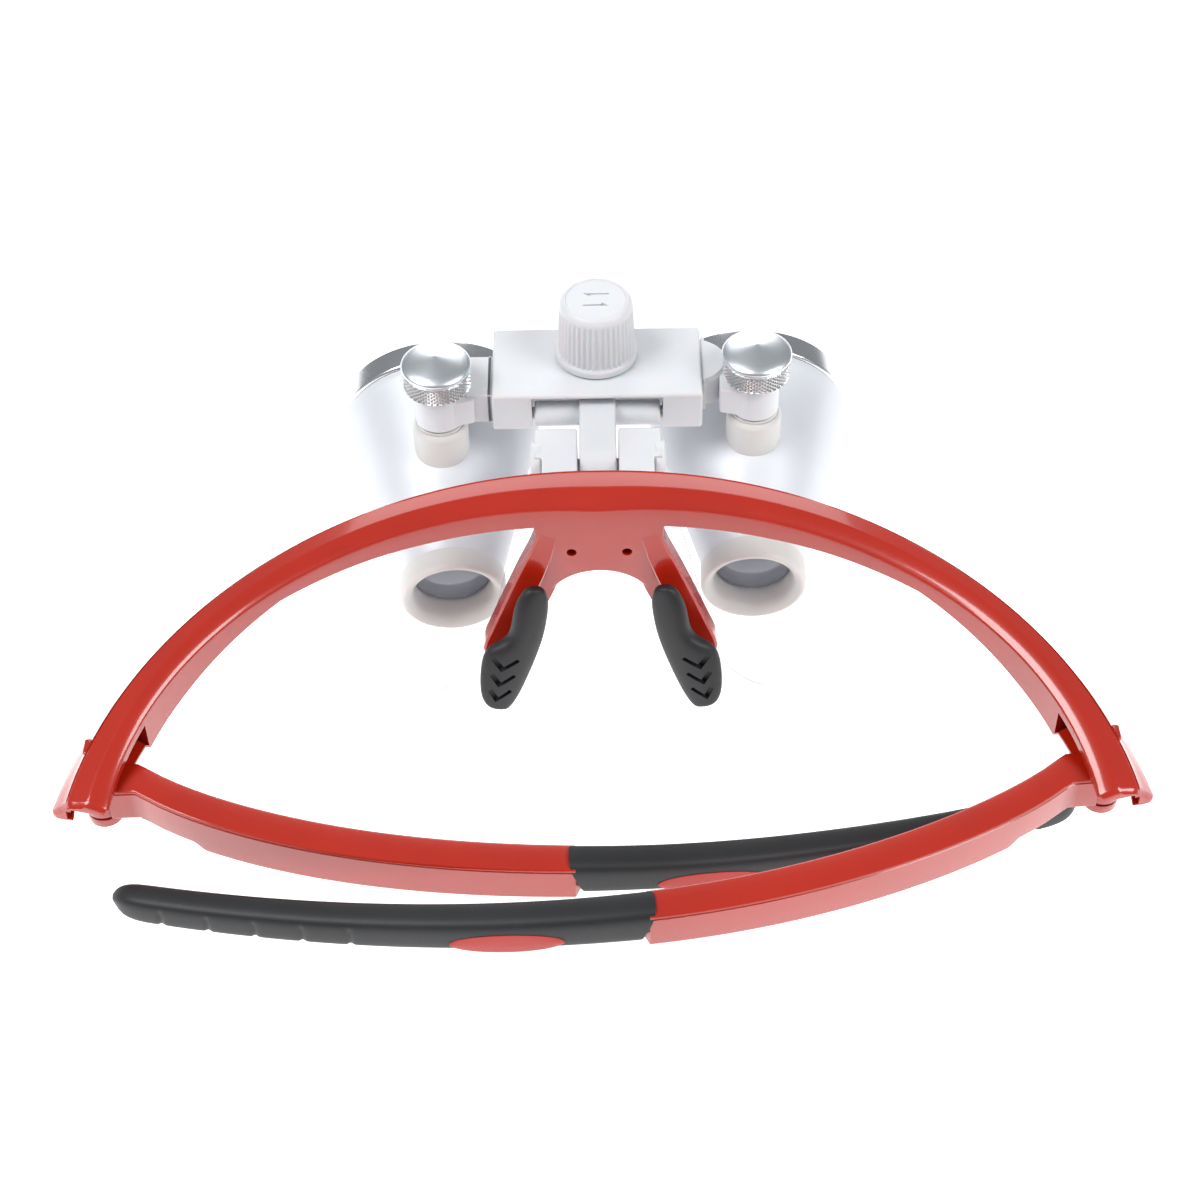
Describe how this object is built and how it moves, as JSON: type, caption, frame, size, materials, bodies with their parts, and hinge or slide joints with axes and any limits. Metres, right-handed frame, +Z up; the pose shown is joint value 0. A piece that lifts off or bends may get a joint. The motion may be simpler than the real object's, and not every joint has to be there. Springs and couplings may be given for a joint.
{
  "type": "dental loupes",
  "caption": "Flip-up magnifying loupes with conical barrels on a red half-frame pair of safety glasses, temples folded.",
  "frame": {"origin": "centre of the bounding box at its lowest point, where the loupes stand on a table", "axes": "+X to the wearer's right, +Y the way the wearer looks, +Z up"},
  "size_m": [0.1446, 0.1126, 0.0474],
  "materials": {
    "red_plastic": "glossy moulded red",
    "clear_lens": "clear hard-coated polycarbonate",
    "black_rubber": "satin",
    "white_plastic": "satin white",
    "pale_metal": "fine bead-blasted, pale silver white",
    "brushed_aluminium": "turned and brushed",
    "steel": "machined",
    "brass": "machined",
    "optic_glass": "coated optical glass",
    "black_anodised": "matt black anodised"
  },
  "bodies": {
    "frame": {"front_frame": "red_plastic", "left_lens": "clear_lens", "right_lens": "clear_lens", "left_nose_pad": "black_rubber", "right_nose_pad": "black_rubber", "left_hinge_screw": "steel", "right_hinge_screw": "steel", "mount_base": "white_plastic", "base_pivot_pin": "steel", "left_base_screw": "steel", "right_base_screw": "steel"},
    "left_temple": {"left_temple": "red_plastic", "left_temple_sleeve": "black_rubber"},
    "right_temple": {"right_temple": "red_plastic", "right_temple_sleeve": "black_rubber"},
    "flip_arm": {"flip_arm": "white_plastic"},
    "adjuster": {"adjuster_block": "white_plastic", "block_pivot_pin": "steel", "adjuster_cover": "white_plastic", "left_cover_screw": "steel", "right_cover_screw": "steel"},
    "knob": {"ipd_knob": "white_plastic", "pinion_shaft": "brass"},
    "left_arm": {"left_arm": "white_plastic"},
    "left_barrel": {"left_barrel": "pale_metal", "left_post_washer": "steel", "left_eyecup_ring": "white_plastic", "left_objective_ring": "brushed_aluminium", "left_eye_lens": "optic_glass", "left_objective_lens": "optic_glass", "left_lens_spacer": "black_anodised"},
    "left_lock_screw": {"left_lock_screw": "brushed_aluminium"},
    "right_arm": {"right_arm": "white_plastic"},
    "right_barrel": {"right_barrel": "pale_metal", "right_post_washer": "steel", "right_eyecup_ring": "white_plastic", "right_objective_ring": "brushed_aluminium", "right_eye_lens": "optic_glass", "right_objective_lens": "optic_glass", "right_lens_spacer": "black_anodised"},
    "right_lock_screw": {"right_lock_screw": "brushed_aluminium"}
  },
  "joints": [
    {"name": "right_temple_fold", "type": "hinge", "parent": "frame", "child": "right_temple", "pos_m": [0.0664, -0.0313, 0.025], "axis": [0, 0, 1], "range_deg": [0, 85]},
    {"name": "left_temple_fold", "type": "hinge", "parent": "frame", "child": "left_temple", "pos_m": [-0.0664, -0.0313, 0.025], "axis": [0, 0, -1], "range_deg": [0, 90]},
    {"name": "loupe_flip", "type": "hinge", "parent": "frame", "child": "flip_arm", "pos_m": [0, 0.0227, 0.0316], "axis": [1, 0, 0], "range_deg": [0, 80]},
    {"name": "declination_tilt", "type": "hinge", "parent": "flip_arm", "child": "adjuster", "pos_m": [0, 0.0335, 0.0322], "axis": [1, 0, 0], "range_deg": [-6, 25]},
    {"name": "right_arm_slide", "type": "slide", "parent": "adjuster", "child": "right_arm", "axis": [1, 0, 0], "range_m": [0, 0.01]},
    {"name": "left_arm_slide", "type": "slide", "parent": "adjuster", "child": "left_arm", "axis": [-1, 0, 0], "range_m": [0, 0.01]},
    {"name": "knob_spin", "type": "hinge", "parent": "adjuster", "child": "knob", "pos_m": [0, 0.0413, 0.037], "axis": [0, 0, 1], "range_deg": [-230, 0]},
    {"name": "left_barrel_yaw", "type": "hinge", "parent": "left_arm", "child": "left_barrel", "pos_m": [-0.0235, 0.0343, 0.0303], "axis": [0, 0, 1], "range_deg": [-13, 5]},
    {"name": "left_lock_screw_turn", "type": "hinge", "parent": "left_barrel", "child": "left_lock_screw", "pos_m": [-0.0235, 0.0343, 0.037], "axis": [0, 0, 1], "range_deg": [0, 180]},
    {"name": "right_barrel_yaw", "type": "hinge", "parent": "right_arm", "child": "right_barrel", "pos_m": [0.0235, 0.0359, 0.0303], "axis": [0, 0, -1], "range_deg": [-9, 9]},
    {"name": "right_lock_screw_turn", "type": "hinge", "parent": "right_barrel", "child": "right_lock_screw", "pos_m": [0.0235, 0.0359, 0.037], "axis": [0, 0, 1], "range_deg": [0, 180]}
  ],
  "couplings": [
    {"joint": "left_temple_fold", "follows": "right_temple_fold", "ratio": 1.0529},
    {"joint": "left_arm_slide", "follows": "right_arm_slide", "ratio": 1},
    {"joint": "knob_spin", "follows": "right_arm_slide", "rad_per_m": -400}
  ]
}
